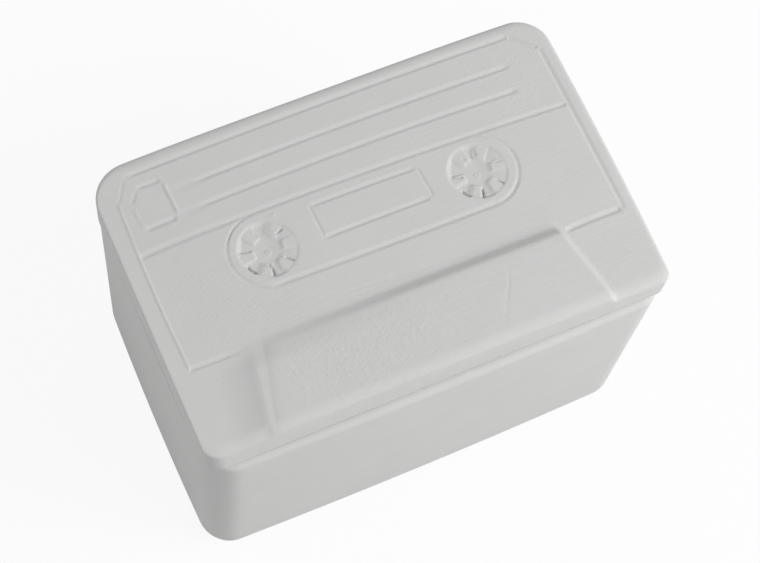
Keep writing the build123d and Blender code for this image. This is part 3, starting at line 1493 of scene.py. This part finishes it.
    def carve_field(self, shell: Shell, outline: Outline, face: float) -> tuple[Stations, np.ndarray]:
        """Starts the shell with the dense carved field.

        Args:
            shell: The empty shell.
            outline: The lid's outline.
            face: Height of the lid's face.

        Returns:
            The stations of the field's rim, and their places in plan.
        """
        swell, reach, margin = outline.swell, self.reach, self.field_margin
        left = swell.left + reach.left + margin - outline.length / 2
        right = outline.length / 2 - swell.right - reach.right - margin
        front = swell.front + reach.front + margin + max(self.lean) - outline.width / 2
        back = outline.width / 2 - swell.back - reach.back - margin
        columns = spaced((left, *self.column_stops, right), self.column_spacings)
        rows = spaced((front, *self.row_stops, back), self.row_spacings)
        field = Field(columns, rows, self.field_corners)
        local = field.make(shell)
        plan = outline.swollen(*field.rounded(local).T) + np.array(outline.centre)
        carved = with_height(plan, face + self.carving.height(plan, outline.centre))
        for vert, place in zip(shell.mesh.verts, carved):
            vert.co = Vector(place) * MM
            vert[shell.station] = -1

        shell.mesh.verts.index_update()
        shell.find_rim()
        rim = shell.rim_in_order()
        for number, vert in enumerate(rim):
            vert[shell.station] = number
        index = [vert.index for vert in rim]
        return field.stations(local[index]), plan[index]

    def hollow_out(self, shell: Shell, stations: Stations, foot: float, centre: tuple[float, float]) -> None:
        """Grows the underside: the seat, the flange and the hollow inside it.

        Args:
            shell: The shell, whose rim is the lid's lower edge.
            stations: The stations of that rim.
            foot: Height of the seat.
            centre: Middle of the lid.
        """
        low, high = (np.array(corner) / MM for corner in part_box("box"))
        length, width, _ = high - low - 2 * (self.mouth_wall + self.flange_play)
        bow = self.flange_swell
        outline = Outline(length, width, self.flange_corners, Sides(bow, bow, bow, bow), centre)
        ShellRun(shell, outline, stations).loop(-self.seat_edge, foot)
        shell.thin()
        flange = ShellRun(shell, outline, stations.every_other())
        tip = foot - self.flange_depth
        ceiling = foot + self.side - self.plate
        wall = self.flange_wall
        for height in (foot - self.seat_edge, (foot + tip) / 2, tip + self.flange_tip):
            flange.loop(0.0, height)
        flange.bend((0.0, tip + self.flange_tip), (self.flange_tip, tip), 3, joined=True)
        flange.bend((wall - self.flange_tip, tip), (wall, tip + self.flange_tip), 3, level_first=True)
        flange.bend((wall, ceiling - self.hollow_round), (wall + self.hollow_round, ceiling), 4)
        for inset in self.ceiling_rings:
            flange.loop(inset, ceiling)
        shell.close()


@dataclass(frozen=True)
class Box:
    """The open tub that the lid sits on.

    Attributes:
        finish: Its clay.
        corners: Corner radii of its outline.
        swell: How far the middles of its sides stand out.
        wall: Thickness of its wall.
        floor: Thickness of its floor.
        foot_margin: Width of the ring that it stands on, up to the hollow under it.
        foot_hollow: Depth of that hollow.
        foot_bevel: Width and height of the bevels round the hollow.
        foot_round: Rounding of the foot.
        floor_round: Rounding between the floor and the inner wall.
        floor_ring: How far in from the inner wall the last loop on the floor lies.
        inner_rim_round: Rounding of the rim on its inner side.
        rim_round: Rounding of the rim on its outer side.
        round_spans: Steps of the roundings of the foot and the outer rim.
        outer_spans: Steps up the outside.
        inner_spans: Steps down the inside.
    """

    finish: Bisque
    corners: Corners = Corners(9.8, 9.0, 12.0, 10.5)
    swell: Sides = Sides(1.1, 1.1, 1.1, 1.1)
    wall: float = 5.0
    floor: float = 6.0
    foot_margin: float = 11.0
    foot_hollow: float = 1.2
    foot_bevel: tuple[float, float] = (0.4, 0.3)
    foot_round: Sides = Sides(8.0, 5.0, 6.2, 4.0)
    floor_round: float = 3.0
    floor_ring: float = 6.0
    inner_rim_round: float = 0.8
    rim_round: Sides = Sides(0.5, 2.2, 2.2, 2.2)
    round_spans: int = 8
    outer_spans: int = 14
    inner_spans: int = 8

    def build(self) -> bpy.types.Object:
        """Builds the box.

        Returns:
            The piece.
        """
        low, high = (np.array(corner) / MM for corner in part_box("box"))
        size, top = high - low, high[2]
        outline = Outline(size[0], size[1], self.corners, self.swell)
        stations = stations_around(along_x=72, along_y=48, corner=14)
        shell = Shell()
        bmesh.ops.create_circle(shell.mesh, segments=len(stations.core), radius=1.0, cap_ends=True)
        across, up = self.foot_bevel
        foot_plan = outline.at(stations, self.foot_margin + across)
        shell.mesh.verts.ensure_lookup_table()
        for number, vert in enumerate(shell.mesh.verts):
            vert[shell.station] = number
            vert.co = Vector((*foot_plan[number], self.foot_hollow)) * MM
        shell.find_rim()

        run = ShellRun(shell, outline, stations)
        run.loop(self.foot_margin, self.foot_hollow - up)
        run.loop(self.foot_margin, up)
        run.loop(self.foot_margin - across, 0.0)
        foot = self.foot_round.around(stations)
        rim = self.rim_round.around(stations)
        run.bend((foot, 0.0), (0.0, foot), self.round_spans, level_first=True)
        for share in np.linspace(0.0, 1.0, self.outer_spans + 1)[1:]:
            run.loop(0.0, foot + (top - rim - foot) * share)
        run.bend((0.0, top - rim), (rim, top), self.round_spans, joined=True)
        lip = self.inner_rim_round
        run.bend((self.wall - lip, top), (self.wall, top - lip), 3, level_first=True)
        low_end = self.floor + self.floor_round
        for height in np.linspace(top - lip, low_end, self.inner_spans + 1)[1:-1]:
            run.loop(self.wall, height)
        run.bend((self.wall, low_end), (self.wall + self.floor_round, self.floor), 6)
        run.loop(self.wall + self.floor_ring, self.floor)
        shell.close()
        return shell.finish("clay_box", "box", "box", self.finish.material())


# ---------------------------------------------------------------- studio
@dataclass(frozen=True)
class Lamp:
    """A soft square lamp.

    Attributes:
        name: Its name.
        azimuth: Where it stands around the object, in degrees from the front towards the right.
        elevation: Degrees above the table.
        distance: Metres from the object's middle.
        width: Metres across.
        power: Watts.
    """

    name: str
    azimuth: float
    elevation: float
    distance: float
    width: float
    power: float

    def place(self, target: Vector) -> None:
        """Puts the lamp in the scene, facing the target."""
        data = bpy.data.lights.new(self.name, "AREA")
        data.shape = "SQUARE"
        data.size = self.width
        data.energy = self.power
        lamp = bpy.data.objects.new(self.name, data)
        around, up = math.radians(self.azimuth), math.radians(self.elevation)
        away = Vector((math.sin(around) * math.cos(up), -math.cos(around) * math.cos(up), math.sin(up)))
        lamp.location = target + away * self.distance
        lamp.rotation_euler = away.to_track_quat("Z", "Y").to_euler()
        bpy.context.scene.collection.objects.link(lamp)


@dataclass(frozen=True)
class Studio:
    """Camera, floor, world and lamps.

    Attributes:
        aim_mm: Place on the lid that the middle of the view falls on.
        azimuth: Degrees that the view is turned from straight ahead towards the right.
        elevation: Degrees that the view looks down.
        roll: Degrees that the camera is rolled.
        distance_mm: From the camera to the aim.
        focal_px: Focal length in the photograph's pixels.
        rise_px: How far the photograph's middle lies from the optical axis.
        sensor_mm: Width of the camera's sensor.
        clip_start: Metres from the camera at which it starts to see.
        world_strength: Strength of the even light from all around.
        floor_size: Metres across the floor.
        floor_colour: The floor's plain colour.
        floor_white: Share of plain white in what is seen of the floor.
        lamps: The lamps.
    """

    aim_mm: tuple[float, float, float] = (-5.01, -9.76, 103.0)
    azimuth: float = 34.95
    elevation: float = 68.13
    roll: float = -11.78
    distance_mm: float = 591.0
    focal_px: float = 1992.75
    rise_px: float = -19.1
    sensor_mm: float = 36.0
    clip_start: float = 0.01
    world_strength: float = 0.42
    floor_size: float = 6.0
    floor_colour: tuple[float, float, float] = (0.86, 0.86, 0.86)
    floor_white: float = 0.9
    lamps: tuple[Lamp, ...] = (
        Lamp("key_front", 40.0, 38.0, 1.0, 0.47, 2.5),
        Lamp("key_side", 60.0, 38.0, 1.0, 0.47, 4.2),
        Lamp("key_low", 70.0, 20.0, 1.0, 0.47, 1.15),
        Lamp("fill_left", -120.0, 20.0, 0.85, 0.4, 0.95),
        Lamp("fill_top", -90.0, 60.0, 0.5, 0.3, 0.08),
    )

    def build(self) -> None:
        """Builds the studio."""
        self.camera()
        self.world()
        self.floor()
        target = Vector(self.aim_mm) * MM
        for lamp in self.lamps:
            lamp.place(target)
        bpy.context.scene.view_settings.view_transform = "Standard"

    def camera(self) -> None:
        """Sets the camera at the photograph's view."""
        around, down = math.radians(self.azimuth), math.radians(self.elevation)
        level_run = math.cos(down)
        forward = Vector((math.sin(around) * level_run, math.cos(around) * level_run, -math.sin(down)))
        level = forward.cross(Vector((0, 0, 1))).normalized()
        right = Matrix.Rotation(math.radians(self.roll), 3, forward) @ level
        up = right.cross(forward)
        turned = Matrix((right, up, -forward)).transposed()
        data = bpy.data.cameras.new("photo_camera")
        data.sensor_width = self.sensor_mm
        data.lens = self.focal_px * self.sensor_mm / PHOTO_WIDTH_PX
        data.shift_y = self.rise_px / PHOTO_WIDTH_PX
        data.clip_start = self.clip_start
        camera = bpy.data.objects.new("photo_camera", data)
        place = (Vector(self.aim_mm) - forward * self.distance_mm) * MM
        camera.matrix_world = Matrix.Translation(place) @ turned.to_4x4()
        bpy.context.scene.collection.objects.link(camera)
        bpy.context.scene.camera = camera

    @staticmethod
    def seen_directly(graph: NodeGraph) -> Value:
        """1 where the eye, a mirror or a pane sees the surface, and 0 for the light that it gives."""
        path = graph.add("ShaderNodeLightPath")
        rays = [Value(graph, path.outputs[f"Is {kind} Ray"]) for kind in ("Camera", "Glossy", "Transmission")]
        return (rays[0] + rays[1] + rays[2]).between(0.0, 1.0)

    def world(self) -> None:
        """Even white light from all around, and a white background."""
        world = bpy.data.worlds.new("studio")
        world.use_nodes = True
        background = world.node_tree.nodes["Background"]
        background.inputs["Color"].default_value = WHITE
        background.inputs["Strength"].default_value = self.world_strength
        bpy.context.scene.world = world

    def floor(self) -> None:
        """A plain pale floor that reads as white and keeps a soft shadow."""
        graph = NodeGraph("studio_floor")
        matte = graph.add("ShaderNodeBsdfDiffuse", inputs={"Color": (*self.floor_colour, 1.0)})
        glow = graph.add("ShaderNodeEmission", inputs={"Color": WHITE, "Strength": 1.0})
        share = self.seen_directly(graph) * self.floor_white
        mixed = graph.add("ShaderNodeMixShader", inputs={0: share, 1: matte.outputs[0], 2: glow.outputs[0]})
        graph.add("ShaderNodeOutputMaterial", inputs={"Surface": mixed.outputs[0]})
        plane = bmesh.new()
        bmesh.ops.create_grid(plane, x_segments=1, y_segments=1, size=self.floor_size / 2)
        data = bpy.data.meshes.new("studio_floor")
        plane.to_mesh(data)
        plane.free()
        data.materials.append(graph.material)
        floor = bpy.data.objects.new("studio_floor", data)
        bpy.context.scene.collection.objects.link(floor)


def main() -> None:
    """Builds the studio and the two clay pieces in order."""
    logging.basicConfig(level=logging.INFO, format="%(name)s: %(message)s")
    Studio().build()
    Box(Bisque("bisque_box")).build()
    Lid(Bisque("bisque_lid", patches=LID_MARKS)).build()


if __name__ == "__main__":
    main()
